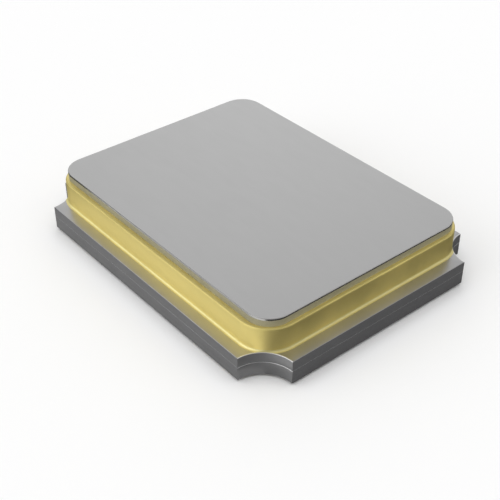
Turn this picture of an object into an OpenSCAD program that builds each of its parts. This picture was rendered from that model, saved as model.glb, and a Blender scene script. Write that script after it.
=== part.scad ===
// Quartz crystal resonator in a seam-sealed ceramic package with four solder terminals.
// Millimetres, +X along the length, +Y across it and +Z up. The origin is the centre of the
// terminals' underside, so the part stands on z = 0. The lid, ring and ceramic enclose a
// cavity in which a quartz blank is held at its -X end.

/* [Ceramic body] */
// Length of the ceramic body
body_l = 3.2; // [2.9:0.05:4]
// Width of the ceramic body
body_w = 2.5; // [2.3:0.05:3.2]
// Thickness of the lower sheet, the cavity's floor
floor_t = 0.125; // [0.08:0.005:0.25]
// Thickness of the upper sheet, the cavity's wall
wall_t = 0.095; // [0.06:0.005:0.2]
// Radius of the quarter-round notch at each corner
notch_r = 0.29; // [0.2:0.005:0.29]
// Bevel along the upper outer edges of each sheet
sheet_bevel = 0.004; // [0.002:0.001:0.015]
// Bare ceramic between the ring and the cavity
cavity_ledge = 0.03; // [0.01:0.005:0.06]
// Corner radius of the cavity
cavity_r = 0.12; // [0.05:0.01:0.3]

/* [Seal ring] */
// Distance from the ceramic's sides to the ring's outer wall
ring_inset = 0.12; // [0.08:0.005:0.18]
// Distance from the ceramic's ends to the ring's outer wall
ring_end_inset = 0.13; // [0.08:0.005:0.18]
// Width of the ring's band
ring_band = 0.3; // [0.2:0.01:0.34]
// Height of the ring
ring_h = 0.205; // [0.15:0.005:0.4]
// Outer corner radius of the ring
ring_r = 0.285; // [0.25:0.005:0.5]
// Inner corner radius of the ring
ring_bore_r = 0.14; // [0.05:0.01:0.3]
// Rounding of the ring's top outer edge
ring_round = 0.015; // [0.005:0.001:0.04]
// Thickness of the braze under the ring, and the radius of its fillet
braze_t = 0.02; // [0.01:0.001:0.04]

/* [Lid] */
// Distance from the ring's outer wall to the lid's edge along the sides
lid_inset = 0.045; // [0.03:0.005:0.12]
// Distance from the ring's outer wall to the lid's edge at the ends
lid_end_inset = 0.035; // [0.03:0.005:0.12]
// Thickness of the lid
lid_t = 0.075; // [0.05:0.005:0.12]
// Corner radius of the lid
lid_r = 0.21; // [0.1:0.01:0.4]
// Rounding of the lid's top edge
lid_round = 0.005; // [0.004:0.001:0.03]

/* [Crystal] */
// Thickness of the quartz blank
blank_t = 0.07; // [0.03:0.005:0.12]
// Gap between the cavity's wall and the blank's held end
held_gap = 0.14; // [0.08:0.01:0.2]
// Gap between the cavity's wall and the blank's free end
free_gap = 0.2; // [0.1:0.01:0.3]
// Gap between the cavity's wall and each side of the blank
side_gap = 0.17; // [0.1:0.01:0.25]
// Thickness of each electrode's film
film_t = 0.01; // [0.005:0.001:0.02]
// Length of each electrode
electrode_l = 1.1; // [0.7:0.05:1.3]
// Margin from each electrode to the blank's sides
electrode_margin = 0.2; // [0.12:0.01:0.3]
// Width of an electrode's tab at the held end
tab_w = 0.3; // [0.2:0.01:0.4]

/* [Mounting] */
// Diameter of an adhesive dot
dot_d = 0.34; // [0.2:0.01:0.4]
// Height of an adhesive dot
dot_h = 0.04; // [0.02:0.005:0.06]
// Distance from a dot's centre to the blank's held end and side
dot_inset = 0.2; // [0.18:0.01:0.25]
// Length and width of a mounting pad
pad_w = 0.42; // [0.36:0.01:0.5]
// Thickness of the printed conductors in the cavity
print_t = 0.02; // [0.01:0.005:0.03]
// Width of a printed track
track_w = 0.1; // [0.06:0.01:0.16]

/* [Terminals] */
// Length of a solder terminal
terminal_l = 0.9; // [0.7:0.05:1]
// Width of a solder terminal
terminal_w = 0.75; // [0.6:0.05:0.85]
// Thickness of a solder terminal
terminal_t = 0.02; // [0.01:0.005:0.04]
// Distance from the terminals to the ceramic's edges
terminal_inset = 0.05; // [0.02:0.005:0.1]
// Corner radius of a solder terminal
terminal_r = 0.06; // [0.02:0.01:0.12]
// Diameter of a filled via
via_d = 0.1; // [0.06:0.01:0.14]
// Width of the landing round a via
via_land = 0.05; // [0.03:0.005:0.08]

/* [Hidden] */
$fn = 96;

// Heights of the layers
floor_z = terminal_t + floor_t;
ceramic_top = floor_z + wall_t;
ring_z = ceramic_top + braze_t;
lid_z = ring_z + ring_h;
film_z = floor_z + print_t + dot_h;
blank_z = film_z + film_t;

// Outlines that follow from the ceramic's edge
ring_l = body_l - 2 * ring_end_inset;
ring_w = body_w - 2 * ring_inset;
bore_l = ring_l - 2 * ring_band;
bore_w = ring_w - 2 * ring_band;
cavity_l = bore_l - 2 * cavity_ledge;
cavity_w = bore_w - 2 * cavity_ledge;
lid_l = ring_l - 2 * lid_end_inset;
lid_w = ring_w - 2 * lid_inset;

// The blank and what holds it
blank_l = cavity_l - held_gap - free_gap;
blank_w = cavity_w - 2 * side_gap;
held_x = held_gap - cavity_l / 2;
blank_x = held_x + blank_l / 2;
electrode_w = blank_w - 2 * electrode_margin;
electrode_x = blank_x - electrode_l / 2;
dot_x = held_x + dot_inset;
dot_y = blank_w / 2 - dot_inset;

// Centres of the terminals and vias, from the middle of the package
terminal_x = body_l / 2 - terminal_inset - terminal_l / 2;
terminal_y = body_w / 2 - terminal_inset - terminal_w / 2;
via_edge = via_d / 2 + via_land;
signal_x = terminal_x - terminal_l / 2 + via_edge;
signal_y = terminal_y - terminal_w / 2 + via_edge;
ground_y = ring_w / 2 - ring_band / 2;

// Direction of each terminal from the middle, counted round from terminal 1
CORNER = [[-1, -1], [1, -1], [1, 1], [-1, 1]];
function corner(number) = CORNER[number - 1];

// How far a cutter runs past the face that it opens
overrun = 0.05;

CERAMIC = "dimgray";
GOLD = "gold";
NICKEL = "silver";
QUARTZ = "lightcyan";
FILM = "lightgray";
ADHESIVE = "gray";
TUNGSTEN = "slategray";

// A flat rectangle with round corners
module rounded_rect(l, w, r) {
    square([l - 2 * r, w], center = true);
    square([l, w - 2 * r], center = true);
    for (x = [-1, 1], y = [-1, 1])
        translate([x * (l / 2 - r), y * (w / 2 - r)]) circle(r);
}

// Sweeps a section round a rounded rectangle. The section's x runs outwards from the
// outline and its y runs up.
module sweep_round(l, w, r) {
    for (turn = [0:3]) {
        reach = turn % 2 == 0 ? l : w;
        side = turn % 2 == 0 ? w : l;
        rotate(90 * turn) {
            translate([reach / 2, side / 2 - r, 0])
                rotate([90, 0, 0]) linear_extrude(side - 2 * r) children();
            translate([reach / 2 - r, side / 2 - r, 0])
                rotate_extrude(angle = 90) translate([r, 0]) children();
        }
    }
}

// A plate with round corners, its top edge rounded all the way round
module round_topped_plate(l, w, r, t, edge) {
    linear_extrude(t - edge) rounded_rect(l, w, r);
    translate([0, 0, t - edge]) {
        linear_extrude(edge) rounded_rect(l - 2 * edge, w - 2 * edge, r - edge);
        sweep_round(l - 2 * edge, w - 2 * edge, r - edge) intersection() {
            circle(edge);
            square(edge);
        }
    }
}

module at_notches() {
    for (x = [-1, 1], y = [-1, 1])
        translate([x * body_l / 2, y * body_w / 2, 0]) children();
}

// Section of a sheet with its two upper edges bevelled
module bevelled_section(w, t) {
    half = w / 2;
    b = sheet_bevel;
    polygon([
        [-half, 0], [half, 0], [half, t - b], [half - b, t], [b - half, t], [-half, t - b]
    ]);
}

// The flared pin that cuts one corner notch and bevels its upper edge
module notch_cutter(t) {
    b = sheet_bevel;
    rotate_extrude() polygon([
        [0, -b], [notch_r, -b], [notch_r, t - b], [notch_r + 2 * b, t + b], [0, t + b]
    ]);
}

// One ceramic sheet of the laminate, standing on z = 0
module ceramic_sheet(t) {
    difference() {
        intersection() {
            translate([-body_l / 2, 0, 0])
                rotate([90, 0, 90]) linear_extrude(body_l) bevelled_section(body_w, t);
            translate([0, body_w / 2, 0])
                rotate([90, 0, 0]) linear_extrude(body_w) bevelled_section(body_l, t);
        }
        at_notches() notch_cutter(t);
    }
}

module via(number, y, top) {
    translate([corner(number)[0] * signal_x, corner(number)[1] * y, terminal_t])
        cylinder(d = via_d, h = top - terminal_t);
}

module signal_via(number) {
    color(TUNGSTEN) via(number, signal_y, floor_z);
}

module ground_via(number) {
    color(TUNGSTEN) via(number, ground_y, ceramic_top);
}

// Bores that the vias fill, run past both faces of the sheets
module via_bores() {
    for (number = [1, 3])
        translate([0, 0, -overrun]) via(number, signal_y, floor_z + 2 * overrun);
    for (number = [2, 4])
        translate([0, 0, -overrun]) via(number, ground_y, ceramic_top + 2 * overrun);
}

module base_layer() {
    color(CERAMIC) difference() {
        translate([0, 0, terminal_t]) ceramic_sheet(floor_t);
        via_bores();
    }
}

module wall_layer() {
    color(CERAMIC) difference() {
        translate([0, 0, floor_z]) ceramic_sheet(wall_t);
        translate([0, 0, floor_z - overrun])
            linear_extrude(wall_t + 2 * overrun) rounded_rect(cavity_l, cavity_w, cavity_r);
        via_bores();
    }
}

// The opening through the ring and its braze
module ring_bore(z, h) {
    translate([0, 0, z - overrun])
        linear_extrude(h + 2 * overrun) rounded_rect(bore_l, bore_w, ring_bore_r);
}

// A thin frame with a concave flank that runs out on the ceramic, cut off at the notches
module braze_joint() {
    color(GOLD) difference() {
        translate([0, 0, ceramic_top]) {
            linear_extrude(braze_t) rounded_rect(ring_l, ring_w, ring_r);
            sweep_round(ring_l, ring_w, ring_r) difference() {
                square(braze_t);
                translate([braze_t, braze_t]) circle(braze_t);
            }
        }
        ring_bore(ceramic_top, braze_t);
        at_notches() translate([0, 0, ceramic_top - overrun])
            cylinder(r = notch_r + sheet_bevel, h = braze_t + 2 * overrun);
    }
}

module seal_ring() {
    color(GOLD) difference() {
        translate([0, 0, ring_z]) round_topped_plate(ring_l, ring_w, ring_r, ring_h, ring_round);
        ring_bore(ring_z, ring_h);
    }
}

module lid() {
    color(NICKEL) translate([0, 0, lid_z])
        round_topped_plate(lid_l, lid_w, lid_r, lid_t, lid_round);
}

module quartz_blank() {
    color(QUARTZ) translate([held_x, -blank_w / 2, blank_z]) cube([blank_l, blank_w, blank_t]);
}

// Outline of an electrode, with a tab to the held end on its +Y side
module electrode_outline() {
    translate([electrode_x, -electrode_w / 2]) square([electrode_l, electrode_w]);
    polygon([
        [held_x, dot_y - tab_w / 2],
        [electrode_x, electrode_w / 2 - tab_w],
        [electrode_x, electrode_w / 2],
        [held_x, dot_y + tab_w / 2]
    ]);
}

// Outline of the patch under the blank that an adhesive dot feeds
module contact_outline() {
    translate([held_x, dot_y - tab_w / 2]) square([dot_inset + dot_d / 2, tab_w]);
}

// Outline of the film that runs down the blank's held end
module fold_outline() {
    translate([held_x - film_t, dot_y - tab_w / 2]) square([film_t, tab_w]);
}

// Lies on the blank's top, folds down its held end and back under it
module upper_electrode() {
    color(FILM) {
        translate([0, 0, blank_z + blank_t]) linear_extrude(film_t) {
            electrode_outline();
            fold_outline();
        }
        translate([0, 0, film_z]) linear_extrude(film_t) {
            contact_outline();
            fold_outline();
        }
        translate([0, 0, film_z]) linear_extrude(blank_t + 2 * film_t) fold_outline();
    }
}

module lower_electrode() {
    color(FILM) mirror([0, 1, 0]) translate([0, 0, film_z]) linear_extrude(film_t) {
        electrode_outline();
        contact_outline();
    }
}

// A squeezed dot with a full-round edge
module adhesive_dot(number) {
    core_r = dot_d / 2 - dot_h / 2;
    color(ADHESIVE) translate([dot_x, corner(number)[1] * dot_y, floor_z + print_t])
        rotate_extrude() {
            square([core_r, dot_h]);
            translate([core_r, dot_h / 2]) intersection() {
                circle(d = dot_h);
                translate([0, -dot_h / 2]) square([dot_h / 2, dot_h]);
            }
        }
}

// A straight stretch of track between two points on one line along X or Y
module track(from, to) {
    low = [min(from[0], to[0]), min(from[1], to[1])];
    high = [max(from[0], to[0]), max(from[1], to[1])];
    translate([low[0] - track_w / 2, low[1] - track_w / 2])
        square([high[0] - low[0] + track_w, high[1] - low[1] + track_w]);
}

// A pad under the adhesive, with its track to the landing on the via
module mounting_pad(number) {
    pad = [dot_x, corner(number)[1] * dot_y];
    landing = [corner(number)[0] * signal_x, corner(number)[1] * signal_y];
    bend = [pad[0], landing[1]];
    color(GOLD) translate([0, 0, floor_z]) linear_extrude(print_t) {
        translate(pad) square(pad_w, center = true);
        track(pad, bend);
        track(bend, landing);
        translate(landing) circle(via_edge);
    }
}

// A solder terminal, its outer corner cut back round the notch
module terminal(number) {
    side = corner(number);
    color(GOLD) linear_extrude(terminal_t) difference() {
        translate([side[0] * terminal_x, side[1] * terminal_y])
            rounded_rect(terminal_l, terminal_w, terminal_r);
        translate([side[0] * body_l / 2, side[1] * body_w / 2]) circle(notch_r + terminal_inset);
    }
}

base_layer();
wall_layer();
braze_joint();
seal_ring();
lid();
quartz_blank();
upper_electrode();
lower_electrode();
adhesive_dot(1);  // adhesive_dot_1
adhesive_dot(3);  // adhesive_dot_3
mounting_pad(1);  // mounting_pad_1
mounting_pad(3);  // mounting_pad_3
signal_via(1);  // signal_via_1
signal_via(3);  // signal_via_3
ground_via(2);  // ground_via_2
ground_via(4);  // ground_via_4
terminal(1);  // terminal_1
terminal(2);  // terminal_2
terminal(3);  // terminal_3
terminal(4);  // terminal_4
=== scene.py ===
"""Looks of a quartz crystal resonator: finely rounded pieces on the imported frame, plated metal,
dark ceramic, and a pale floor under soft studio light."""
import math

import bpy
from mathutils import Matrix, Vector


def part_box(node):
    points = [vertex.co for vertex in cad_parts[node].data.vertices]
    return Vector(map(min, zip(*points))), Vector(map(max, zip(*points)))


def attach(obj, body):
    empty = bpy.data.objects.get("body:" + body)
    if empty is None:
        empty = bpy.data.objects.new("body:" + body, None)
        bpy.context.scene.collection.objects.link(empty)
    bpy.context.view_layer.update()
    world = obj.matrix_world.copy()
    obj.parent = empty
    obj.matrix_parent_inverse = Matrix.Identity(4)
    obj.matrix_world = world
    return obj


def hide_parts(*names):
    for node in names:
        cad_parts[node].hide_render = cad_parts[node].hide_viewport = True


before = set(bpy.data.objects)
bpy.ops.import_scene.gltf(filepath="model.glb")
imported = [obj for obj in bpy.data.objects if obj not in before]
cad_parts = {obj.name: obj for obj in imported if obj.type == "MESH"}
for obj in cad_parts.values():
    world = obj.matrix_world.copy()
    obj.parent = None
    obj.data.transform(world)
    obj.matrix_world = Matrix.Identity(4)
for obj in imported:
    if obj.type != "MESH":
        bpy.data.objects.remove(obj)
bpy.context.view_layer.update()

# Metres in a millimetre. Sizes below are in millimetres unless they say otherwise.
MM = 0.001

# Ceramic sheets. The bevel is wider in a notch, by the flare as a share of the bevel. The upper sheet
# reaches past the ring's bore by the ledge.
NOTCH_R = 0.29
NOTCH_FLARE = 1.0
SHEET_BEVEL = 0.004
CAVITY_LEDGE = 0.03
CAVITY_R = 0.12

# Seal ring, braze and lid. The band is the ring's width, and the reflection band is the lower part of
# the lid's edge, coloured pale gold as a painted reflection of the gold ledge below it.
RING_R = 0.285
RING_ROUND = 0.015
RING_BAND = 0.3
BORE_R = 0.14
LID_R = 0.21
LID_ROUND = 0.005
REFLECTION_BAND_H = 0.058

# Solder terminals
TERMINAL_INSET = 0.05
TERMINAL_R = 0.06
TERMINAL_ROUND = 0.006

# Fineness of the meshes: steps in a quarter turn of an outline and of an edge, steps round a bore, and
# the angle from which an edge shades as sharp
ARC_STEPS = 32
EDGE_STEPS = 6
BORE_STEPS = 48
SHARP_ANGLE = math.radians(32)

# How far the cutters of the bores reach up and down
CUTTER_REACH = 1.0

# Signs of x and y in the quadrants of an outline, anticlockwise
QUADRANTS = ((1, 1), (-1, 1), (-1, -1), (1, -1))

# Order of the materials on a sheet, the ring and the lid
POLISHED_LIT, CUT_SHADED, NOTCH_WALL, NOTCH_RIM_HIGHLIGHT = range(4)
RING_SIDE, RING_LEDGE = range(2)
LID_TOP, LID_EDGE, LID_REFLECTION_BAND = range(3)

# Least upward parts of the normals of a sheet's upper bevels, of the bright part of the bevel between
# the sheets and of a flat top face. The sheets' bevels above their value get the lighter, glossier
# ceramic: painted highlight lines along the edges and between the sheets.
BEVEL_TURN = 0.2
SEAM_TURN = 0.6
FLAT_TOP = 0.97

# How far the rim of a notch reaches from its wall, in widths of its bevel. The rim has a near-white
# polish: painted highlight lines round the notch.
RIM_BEVELS = 2

# Camera: direction from the part, distance, sideways and upward shift, height that it looks at, sensor
# and lens, and nearest distance seen
VIEW_AZIMUTH = math.radians(50.30)
VIEW_ELEVATION = math.radians(36.28)
VIEW_DISTANCE = 8.9414
VIEW_SIDE = -0.0318
VIEW_RISE = -0.0884
VIEW_CENTRE_Z = 0.02
SENSOR = 36.0
LENS = 71.65
NEAR_CLIP = 0.1

# Light: an even dome, a pale horizon that fades out between two upward parts of a direction of length 1,
# soft glows with a direction and a strength each, and a broad lamp above
DOME_STRENGTH = 0.28
HORIZON_STRENGTH = 0.97
HORIZON_FADE = (0.075, 0.13)
GLOW_FALLOFF = 6.0
GLOWS = (
    ((-0.30, -0.90, 0.10), 1.15),
    ((-0.28, -0.85, 0.42), 0.70),
    ((-0.25, -0.62, 0.74), 0.55),
    ((-0.75, 0.60, 0.20), 0.47),
    ((-0.69, 0.58, 0.44), 0.55),
    ((0.60, 0.52, 0.60), 0.60),
)
SUN_STRENGTH = 1.04
SUN_ANGLE = math.radians(60)

# Floor
FLOOR_SIZE = 400.0
FLOOR_TONE = 0.95

# Dark cards on the floor that only reflections see: painted shade in the metal's reflections. The one by
# the part's right end has a near corner, a near edge in a direction from it, and a far left corner. The
# one by its left end has a near edge.
CARD_CORNER = (1.41, -1.08)
CARD_EDGE = (0.47, -0.66)
CARD_BACK = (0.8, 3.0)
END_CARD_X = -1.7
CARD_REACH = 6.0
CARD_RISE = 0.002
CARD_TONE = 0.05

# Detail of the noises, the values of a noise at which a material has its darkest and lightest tone, and
# the share of painted light and shade in a tone
GRAIN_DETAIL = 3.0
DARK = 0.3
LIGHT = 0.7
PAINTED_SHADING_SHARE = 0.9


# Outlines and solids

def quarter(steps):
    """Angles through a quarter turn."""
    return [math.pi / 2 * i / steps for i in range(steps + 1)]


def round_corner(r):
    """Steps inwards from a sharp corner that follow a convex round."""
    return [(r * (1 - math.cos(a)), r * (1 - math.sin(a))) for a in quarter(ARC_STEPS)]


def notch_corner(r, inset):
    """Steps inwards from the corner of an outline that lies inset from a notched rectangle's.
    The notch is round its sharp corner."""
    reach = r + inset
    first = math.asin(inset / reach)
    share = 1 - 4 * first / math.pi
    angles = [first + a * share for a in quarter(ARC_STEPS)]
    return [(reach * math.sin(a) - inset, reach * math.cos(a) - inset) for a in angles]


def outline(half_l, half_w, corners, centre=(0, 0)):
    """Points round a rectangle, anticlockwise, with one list of corner steps per quadrant."""
    points = []
    for (x, y), steps in zip(QUADRANTS, corners):
        ordered = steps if x == y else steps[::-1]
        points += [(centre[0] + x * (half_l - dx), centre[1] + y * (half_w - dy)) for dx, dy in ordered]
    return points


def rounded(half_l, half_w, r):
    """Outline of a rectangle with round corners."""
    return outline(half_l, half_w, [round_corner(r)] * len(QUADRANTS))


def notched(half_l, half_w, inset):
    """Outline that lies inset from the ceramic's."""
    corner = notch_corner(NOTCH_R + inset * NOTCH_FLARE, inset)
    return outline(half_l - inset, half_w - inset, [corner] * len(QUADRANTS))


def top_edge(r, top):
    """Insets and heights up a rounded edge to a top face."""
    return [(r * (1 - math.cos(a)), top - r * (1 - math.sin(a))) for a in quarter(EDGE_STEPS)]


def bottom_edge(r, bottom):
    """Insets and heights up a rounded edge from a bottom face."""
    return [(inset, bottom - z) for inset, z in reversed(top_edge(r, 0))]


def loft(name, loops, joined=False):
    """A solid through loops of matched points, each an outline and its height. The first and last
    loops are closed with faces, or joined to each other round an opening."""
    count = len(loops[0][0])
    points = [(x, y, z) for loop, z in loops for x, y in loop]
    faces = []
    for level in range(len(loops) if joined else len(loops) - 1):
        low = level * count
        high = (level + 1) % len(loops) * count
        for i in range(count):
            after = (i + 1) % count
            faces.append((low + i, low + after, high + after, high + i))
    if not joined:
        faces.append(tuple(reversed(range(count))))
        faces.append(tuple(range(len(points) - count, len(points))))
    mesh = bpy.data.meshes.new(name)
    mesh.from_pydata(points, [], faces)
    piece = bpy.data.objects.new(name, mesh)
    bpy.context.scene.collection.objects.link(piece)
    return piece


def extent(node):
    """Half length, half width, lowest and highest z of a node, in millimetres."""
    low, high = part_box(node)
    size = (high - low) / MM
    return size.x / 2, size.y / 2, low.z / MM, high.z / MM


def middle(node):
    """Centre of a node's box, in millimetres."""
    low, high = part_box(node)
    return (low + high) / 2 / MM


def opening(band, r):
    """Outline of an opening that lies this far inside the ring's outer wall."""
    half_l, half_w, _, _ = extent("seal_ring")
    return rounded(half_l - band, half_w - band, r)


def cut_bores(piece, vias):
    """Cuts the bores that these vias fill."""
    turns = [math.tau * i / BORE_STEPS for i in range(BORE_STEPS)]
    for via in vias:
        centre = middle(via)
        r, _, _, _ = extent(via)
        circle = [(centre.x + r * math.cos(a), centre.y + r * math.sin(a)) for a in turns]
        cutter = loft("cutter", [(circle, -CUTTER_REACH), (circle, CUTTER_REACH)])
        cut = piece.modifiers.new("bore", "BOOLEAN")
        cut.object = cutter
        cut.solver = "EXACT"
        evaluated = piece.evaluated_get(bpy.context.evaluated_depsgraph_get())
        drilled = bpy.data.meshes.new_from_object(evaluated)
        piece.modifiers.clear()
        piece.data = drilled
        bpy.data.objects.remove(cutter)


def finish_piece(piece, node, slot, *materials):
    """Scales the piece to metres, shades it, and puts it in the node's place."""
    piece.data.transform(Matrix.Scale(MM, 4))
    for face in piece.data.polygons:
        face.use_smooth = True
    piece.data.set_sharp_from_angle(angle=SHARP_ANGLE)
    piece.modifiers.new("weighted", "WEIGHTED_NORMAL").keep_sharp = True
    for material in materials:
        piece.data.materials.append(material)
    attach(piece, "root")
    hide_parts(node)


# Pieces

def finish_sheet_faces(piece, half_l, half_w, polished_lit_turn):
    """Gives each face of a sheet its finish: in the notches that of their rims or walls, and elsewhere
    the polished_lit_ceramic finish where the face looks up more than polished_lit_turn says, or the
    cut_shaded_ceramic one. The lighter top and darker sides are partly a real difference of finish and
    partly painted light and shade."""
    rim_reach = NOTCH_R + RIM_BEVELS * SHEET_BEVEL * (1 + NOTCH_FLARE)
    for face in piece.data.polygons:
        x, y, _ = face.center / MM
        if math.hypot(half_l - abs(x), half_w - abs(y)) < rim_reach:
            # Notch rims get a painted highlight, and notch walls painted light and shade.
            face.material_index = NOTCH_RIM_HIGHLIGHT if face.normal.z > BEVEL_TURN else NOTCH_WALL
        else:
            face.material_index = POLISHED_LIT if face.normal.z > polished_lit_turn else CUT_SHADED


def make_lower_sheet(ceramic):
    half_l, half_w, bottom, top = extent("base_layer")
    levels = bottom_edge(SHEET_BEVEL, bottom) + top_edge(SHEET_BEVEL, top)
    piece = loft("lower_sheet", [(notched(half_l, half_w, inset), z) for inset, z in levels])
    cut_bores(piece, ("signal_via_1", "signal_via_3", "ground_via_2", "ground_via_4"))
    finish_piece(piece, "base_layer", "ceramic", *ceramic)
    finish_sheet_faces(piece, half_l, half_w, SEAM_TURN)


def make_upper_sheet(ceramic):
    half_l, half_w, bottom, top = extent("wall_layer")
    window = opening(RING_BAND + CAVITY_LEDGE, CAVITY_R)
    levels = [(0, bottom)] + top_edge(SHEET_BEVEL, top)
    loops = [(notched(half_l, half_w, inset), z) for inset, z in levels]
    piece = loft("upper_sheet", loops + [(window, top), (window, bottom)], joined=True)
    cut_bores(piece, ("ground_via_2", "ground_via_4"))
    finish_piece(piece, "wall_layer", "ceramic", *ceramic)
    finish_sheet_faces(piece, half_l, half_w, BEVEL_TURN)


def clear_of_notches(points, half_l, half_w, reach):
    """Moves the points that lie within reach of the ceramic's sharp corners back to that reach."""
    cleared = []
    for point in points:
        corner = Vector((math.copysign(half_l, point[0]), math.copysign(half_w, point[1])))
        away = Vector(point) - corner
        cleared.append(corner + away.normalized() * max(away.length, reach))
    return cleared


def make_braze(plating):
    half_l, half_w, bottom, top = extent("braze_joint")
    sheet_l, sheet_w, _, _ = extent("wall_layer")
    r = top - bottom
    bore = opening(RING_BAND, BORE_R)
    loops = []
    for a in quarter(EDGE_STEPS):
        inset = r * math.sin(a)
        flank = rounded(half_l - inset, half_w - inset, RING_R + r - inset)
        trimmed = clear_of_notches(flank, sheet_l, sheet_w, NOTCH_R + SHEET_BEVEL)
        loops.append((trimmed, top - r * math.cos(a)))
    piece = loft("braze_fillet", loops + [(bore, top), (bore, bottom)], joined=True)
    finish_piece(piece, "braze_joint", "gold_plating", plating)


def make_ring(gold, painted_top):
    half_l, half_w, bottom, top = extent("seal_ring")
    bore = opening(RING_BAND, BORE_R)
    levels = [(0, bottom)] + top_edge(RING_ROUND, top)
    loops = [(rounded(half_l - inset, half_w - inset, RING_R - inset), z) for inset, z in levels]
    piece = loft("ring_frame", loops + [(bore, top), (bore, bottom)], joined=True)
    finish_piece(piece, "seal_ring", "gold_plating", gold, painted_top)
    # The flat top gets the lighter gold: painted light.
    for face in piece.data.polygons:
        face.material_index = RING_LEDGE if face.normal.z > FLAT_TOP else RING_SIDE


def make_lid(nickel, edge, reflection_band):
    half_l, half_w, bottom, top = extent("lid")
    levels = [(0, bottom), (0, bottom + REFLECTION_BAND_H)] + top_edge(LID_ROUND, top)
    loops = [(rounded(half_l - inset, half_w - inset, LID_R - inset), z) for inset, z in levels]
    piece = loft("lid_plate", loops)
    finish_piece(piece, "lid", "nickel_plating", nickel, edge, reflection_band)
    # The lower band of the edge gets a painted reflection of the gold ledge below it.
    for face in piece.data.polygons:
        if face.normal.z > FLAT_TOP:
            face.material_index = LID_TOP
        else:
            face.material_index = LID_REFLECTION_BAND if face.center.z / MM < bottom + REFLECTION_BAND_H else LID_EDGE


def make_terminal(number, gold):
    node = f"terminal_{number}"
    half_l, half_w, bottom, top = extent(node)
    centre = middle(node)
    outer = (math.copysign(1, centre.x), math.copysign(1, centre.y))
    loops = []
    for inset, z in bottom_edge(TERMINAL_ROUND, bottom) + [(0, top)]:
        cut_in = notch_corner(NOTCH_R, TERMINAL_INSET + inset)
        plain = round_corner(TERMINAL_R - inset)
        corners = [cut_in if quadrant == outer else plain for quadrant in QUADRANTS]
        loops.append((outline(half_l - inset, half_w - inset, corners, centre), z))
    piece = loft(f"terminal_pad_{number}", loops)
    finish_piece(piece, node, "gold_plating", gold)


# Shader nodes

def add(tree, kind, values=None, **settings):
    """A new shader node with its settings and inputs. An input that is a socket is linked."""
    made = tree.nodes.new("ShaderNode" + kind)
    for key, value in settings.items():
        setattr(made, key, value)
    for key, value in (values or {}).items():
        if isinstance(value, bpy.types.NodeSocket):
            tree.links.new(value, made.inputs[key])
        else:
            made.inputs[key].default_value = value
    return made


def math_node(tree, operation, first, second):
    """Result of an operation on two values."""
    return add(tree, "Math", {0: first, 1: second}, operation=operation).outputs["Value"]


def mapped(tree, value, first, last, low, high):
    """Maps values from first to last to a range from low to high."""
    values = {"Value": value, "From Min": first, "From Max": last, "To Min": low, "To Max": high}
    return add(tree, "MapRange", values).outputs["Result"]


def blended(tree, share, first, second):
    """A share of the second value and the rest of the first."""
    return add(tree, "Mix", {0: share, 2: first, 3: second}, data_type="FLOAT").outputs[0]


def grain(tree, size, stretch):
    """Noise with features of this size, drawn out along the axes by stretch."""
    place = add(tree, "TexCoord").outputs["Object"]
    scale = [1 / (size * MM * s) for s in stretch]
    scaled = add(tree, "Mapping", {"Vector": place, "Scale": scale}).outputs["Vector"]
    values = {"Vector": scaled, "Scale": 1.0, "Detail": GRAIN_DETAIL}
    return add(tree, "TexNoise", values).outputs["Fac"]


def tones(tree, noise, dark, light):
    """Maps noise to colours between two tones."""
    ramp = add(tree, "ValToRGB", {"Fac": noise})
    for element, place, colour in zip(ramp.color_ramp.elements, (DARK, LIGHT), (dark, light)):
        element.position = place
        element.color = (*colour, 1)
    return ramp.outputs["Color"]


def turn_to_ends(tree):
    """How far a face turns from the part's sides, at 0, to its ends, at 1."""
    facing = add(tree, "TexCoord").outputs["Normal"]
    lengthways = add(tree, "SeparateXYZ", {"Vector": facing}).outputs["X"]
    return add(tree, "Math", {0: lengthways}, operation="ABSOLUTE").outputs["Value"]


def painted_shading_by_height(tree, noise):
    """Painted light and shade on the ring's sides: the tone goes from light at the foot to dark at the
    top, standing in for a brighter reflection low on the wall.
    """
    _, _, foot, top = extent("seal_ring")
    place = add(tree, "TexCoord").outputs["Object"]
    height = add(tree, "SeparateXYZ", {"Vector": place}).outputs["Z"]
    tone = mapped(tree, height, foot * MM, top * MM, LIGHT, DARK)
    share = mapped(tree, turn_to_ends(tree), 0, 1, PAINTED_SHADING_SHARE, 0)
    return blended(tree, share, noise, tone)


def painted_shading_by_turn(tree, noise, sides, ends):
    """Painted light and shade: the tone goes from one value on faces along the part's sides to another
    on faces across its ends.
    """
    tone = mapped(tree, turn_to_ends(tree), 0, 1, sides, ends)
    return blended(tree, PAINTED_SHADING_SHARE, noise, tone)


# Painted shade on faces along the part's sides and painted light on faces across its ends.
def painted_shading_lighter_ends(tree, noise):
    return painted_shading_by_turn(tree, noise, DARK, LIGHT)


# Painted light on faces along the part's sides and painted shade on faces across its ends.
def painted_shading_lighter_sides(tree, noise):
    return painted_shading_by_turn(tree, noise, LIGHT, DARK)


# Materials

def shaded(colour, share):
    """A colour made darker or lighter."""
    return tuple(c * share for c in colour)


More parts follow.
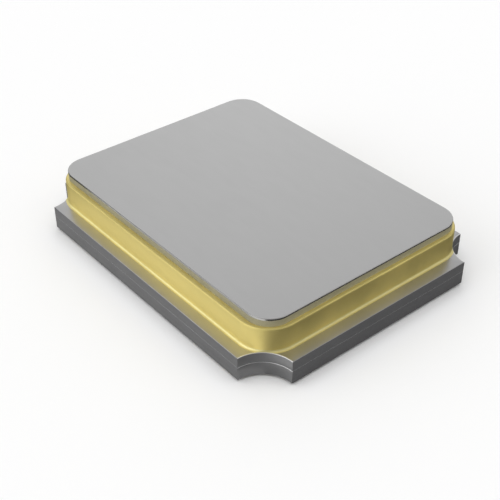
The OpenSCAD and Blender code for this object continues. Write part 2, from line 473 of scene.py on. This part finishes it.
def surface(
        name, colour, contrast, roughness, tone_size, grain_size, relief,
        stretch=(1, 1, 1), painted_shading=None, sockets=None):
    """A Principled material: its colour varies over tone_size, with painted light and shade if there is
    one, and its roughness and a relief of that many millimetres over grain_size. Other sockets get plain
    values."""
    made = bpy.data.materials.new(name)
    made.use_nodes = True
    tree = made.node_tree
    shader = tree.nodes["Principled BSDF"]
    broad = grain(tree, tone_size, stretch)
    fine = grain(tree, grain_size, stretch)
    if painted_shading:
        broad = painted_shading(tree, broad)
    colours = tones(tree, broad, shaded(colour, 1 - contrast), shaded(colour, 1 + contrast))
    bump = add(tree, "Bump", {"Height": fine, "Strength": 1.0, "Distance": relief * MM})
    tree.links.new(colours, shader.inputs["Base Color"])
    tree.links.new(mapped(tree, fine, DARK, LIGHT, *roughness), shader.inputs["Roughness"])
    tree.links.new(bump.outputs["Normal"], shader.inputs["Normal"])
    for key, value in (sockets or {}).items():
        shader.inputs[key].default_value = value
    return made


# Plain values of the shader's sockets
METAL = {"Metallic": 1.0}
POLISH = {"Metallic": 0.9}
FILLED_PASTE = {"Metallic": 0.4}
FIRED = {"IOR": 1.8}
CLEAR = {"Transmission Weight": 1.0}

# Every finish, with what surface() makes it from
FINISHES = {
    # The ring's gold carries painted light low and painted shade high on its sides.
    "gold_plating": dict(
        colour=(0.85, 0.727, 0.283), contrast=0.175, roughness=(0.58, 0.63),
        tone_size=0.6, grain_size=0.03, relief=0.00004, painted_shading=painted_shading_by_height, sockets=METAL),
    "braze_plating": dict(
        colour=(0.88, 0.79, 0.38), contrast=0.03, roughness=(0.5, 0.56),
        tone_size=0.2, grain_size=0.02, relief=0.0001, sockets=METAL),
    # The ring's flat top: a lighter copy of its gold, painted light.
    "ring_top_painted_light": dict(
        colour=(0.93, 0.80, 0.34), contrast=0.04, roughness=(0.48, 0.56),
        tone_size=0.2, grain_size=0.02, relief=0.0001, sockets=METAL),
    "nickel_plating": dict(
        colour=(0.47, 0.47, 0.47), contrast=0.006, roughness=(0.36, 0.39),
        tone_size=0.9, grain_size=0.04, relief=0.00003, stretch=(6, 1, 1), sockets=METAL),
    # The lid's upper edge: painted shade on its sides and painted light on its ends.
    "punched_edge": dict(
        colour=(0.5, 0.495, 0.485), contrast=0.38, roughness=(0.22, 0.26),
        tone_size=0.4, grain_size=0.03, relief=0.00005, painted_shading=painted_shading_lighter_ends, sockets=METAL),
    # The lower band of the lid's edge: pale gold as a painted reflection of the gold ledge, with painted
    # shade on its sides and painted light on its ends.
    "lid_band_painted_reflection": dict(
        colour=(0.595, 0.567, 0.417), contrast=0.17, roughness=(0.84, 0.92),
        tone_size=0.2, grain_size=0.02, relief=0.0001, painted_shading=painted_shading_lighter_ends, sockets=METAL),
    # Ceramic: the glossy top is lighter and the cut sides darker, partly a real difference of finish and
    # partly painted light and shade.
    "polished_lit_ceramic": dict(
        colour=(0.425, 0.425, 0.43), contrast=0.03, roughness=(0.28, 0.31),
        tone_size=0.3, grain_size=0.02, relief=0.00001, sockets=POLISH),
    "cut_shaded_ceramic": dict(
        colour=(0.106, 0.106, 0.108), contrast=0.06, roughness=(0.5, 0.6),
        tone_size=0.3, grain_size=0.015, relief=0.0003),
    # Notch walls: a lighter copy of the cut ceramic, painted light, with painted light on faces along
    # the sides and painted shade on faces across the ends.
    "fired_ceramic_painted_light": dict(
        colour=(0.15, 0.15, 0.152), contrast=0.28, roughness=(0.32, 0.36),
        tone_size=0.3, grain_size=0.02, relief=0.00003, painted_shading=painted_shading_lighter_sides, sockets=FIRED),
    # Notch rims: near-white polish as painted highlight lines.
    "notch_rim_painted_highlight": dict(
        colour=(0.8, 0.8, 0.8), contrast=0.03, roughness=(0.28, 0.31),
        tone_size=0.3, grain_size=0.02, relief=0.00001, sockets=POLISH),
    "quartz": dict(
        colour=(0.93, 0.95, 0.96), contrast=0.01, roughness=(0.04, 0.09),
        tone_size=0.5, grain_size=0.01, relief=0.00002, sockets=CLEAR),
    "silver_film": dict(
        colour=(0.80, 0.79, 0.77), contrast=0.03, roughness=(0.18, 0.3),
        tone_size=0.3, grain_size=0.02, relief=0.00003, sockets=METAL),
    "adhesive": dict(
        colour=(0.34, 0.33, 0.32), contrast=0.2, roughness=(0.45, 0.65),
        tone_size=0.03, grain_size=0.012, relief=0.0006, sockets=FILLED_PASTE),
    "tungsten": dict(
        colour=(0.24, 0.24, 0.25), contrast=0.1, roughness=(0.4, 0.55),
        tone_size=0.05, grain_size=0.01, relief=0.0003, sockets=METAL),
}

# Finishes of the sealed pieces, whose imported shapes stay
INSIDE = {
    "quartz_blank": "quartz",
    "upper_electrode": "silver_film",
    "lower_electrode": "silver_film",
    "adhesive_dot_1": "adhesive",
    "adhesive_dot_3": "adhesive",
    "mounting_pad_1": "gold_plating",
    "mounting_pad_3": "gold_plating",
    "signal_via_1": "tungsten",
    "signal_via_3": "tungsten",
    "ground_via_2": "tungsten",
    "ground_via_4": "tungsten",
}


# Stage

def make_camera():
    back = Vector((
        math.sin(VIEW_AZIMUTH) * math.cos(VIEW_ELEVATION),
        -math.cos(VIEW_AZIMUTH) * math.cos(VIEW_ELEVATION),
        math.sin(VIEW_ELEVATION),
    ))
    right = Vector((math.cos(VIEW_AZIMUTH), math.sin(VIEW_AZIMUTH), 0))
    up = back.cross(right)
    place = back * VIEW_DISTANCE + right * VIEW_SIDE + up * VIEW_RISE + Vector((0, 0, VIEW_CENTRE_Z))
    data = bpy.data.cameras.new("camera")
    data.sensor_width = SENSOR
    data.lens = LENS
    data.clip_start = NEAR_CLIP * MM
    data.clip_end = FLOOR_SIZE * MM
    camera = bpy.data.objects.new("camera", data)
    axes = Matrix((right, up, back)).transposed().to_4x4()
    camera.matrix_world = Matrix.Translation(place * MM) @ axes
    bpy.context.scene.collection.objects.link(camera)
    bpy.context.scene.camera = camera


def make_plate(name, points, height, tone):
    """A flat matt plate of the stage, at this height."""
    mesh = bpy.data.meshes.new(name)
    corners = [(x * MM, y * MM, height * MM) for x, y in points]
    mesh.from_pydata(corners, [], [range(len(corners))])
    plate = bpy.data.objects.new(name, mesh)
    bpy.context.scene.collection.objects.link(plate)
    made = bpy.data.materials.new(name)
    made.use_nodes = True
    shader = made.node_tree.nodes["Principled BSDF"]
    shader.inputs["Base Color"].default_value = (tone, tone, tone, 1)
    shader.inputs["Roughness"].default_value = 1.0
    shader.inputs["Specular IOR Level"].default_value = 0.0
    mesh.materials.append(made)
    return plate


def make_floor():
    half = FLOOR_SIZE / 2
    corners = [(x * half, y * half) for x, y in QUADRANTS]
    make_plate("floor", corners, 0, FLOOR_TONE)


def make_card(name, points):
    """A dark card on the floor, which the part mirrors and nothing else shows: painted shade in the
    reflections.
    """
    card = make_plate(name, points, CARD_RISE, CARD_TONE)
    card.visible_camera = False
    card.visible_diffuse = False
    card.visible_shadow = False


def make_cards():
    x, y = CARD_CORNER
    slant = (x + CARD_EDGE[0] * CARD_REACH, y + CARD_EDGE[1] * CARD_REACH)
    right = x + CARD_REACH
    back = CARD_BACK[1]
    make_card("right_card", [CARD_CORNER, slant, (right, slant[1]), (right, back), CARD_BACK])
    left = END_CARD_X - CARD_REACH
    near = -CARD_REACH
    make_card("end_card", [(left, near), (END_CARD_X, near), (END_CARD_X, back), (left, back)])


def make_dome():
    """The world, which lights the part and shows behind it."""
    world = bpy.data.worlds.new("dome")
    world.use_nodes = True
    bpy.context.scene.world = world
    tree = world.node_tree
    towards = add(tree, "TexCoord").outputs["Generated"]
    total = DOME_STRENGTH
    for direction, strength in GLOWS:
        axis = Vector(direction).normalized()
        facing = add(tree, "VectorMath", {0: towards, 1: axis}, operation="DOT_PRODUCT").outputs["Value"]
        lobe = math_node(tree, "POWER", math_node(tree, "MAXIMUM", facing, 0.0), GLOW_FALLOFF)
        total = math_node(tree, "ADD", math_node(tree, "MULTIPLY", lobe, strength), total)
    height = add(tree, "SeparateXYZ", {"Vector": towards}).outputs["Z"]
    horizon = mapped(tree, height, *HORIZON_FADE, HORIZON_STRENGTH, 0)
    background = tree.nodes["Background"]
    background.inputs["Color"].default_value = (1, 1, 1, 1)
    tree.links.new(math_node(tree, "MAXIMUM", total, horizon), background.inputs["Strength"])


def make_sun():
    """A broad lamp above, which lights the floor and the ceramic and isn't mirrored in the metal.
    As it is made, it shines straight down."""
    data = bpy.data.lights.new("sun", "SUN")
    data.energy = SUN_STRENGTH
    data.angle = SUN_ANGLE
    sun = bpy.data.objects.new("sun", data)
    sun.visible_glossy = False
    bpy.context.scene.collection.objects.link(sun)


make_camera()
make_floor()
make_cards()
make_dome()
make_sun()

finishes = {name: surface(name, **values) for name, values in FINISHES.items()}
gold = finishes["gold_plating"]
ceramic = [finishes[name] for name in ("polished_lit_ceramic", "cut_shaded_ceramic", "fired_ceramic_painted_light", "notch_rim_painted_highlight")]
make_lower_sheet(ceramic)
make_upper_sheet(ceramic)
make_braze(finishes["braze_plating"])
make_ring(gold, finishes["ring_top_painted_light"])
make_lid(finishes["nickel_plating"], finishes["punched_edge"], finishes["lid_band_painted_reflection"])
for number in (1, 2, 3, 4):
    make_terminal(number, gold)
for node, name in INSIDE.items():
    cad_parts[node].material_slots[0].material = finishes[name]

bpy.context.scene.view_settings.view_transform = "Standard"
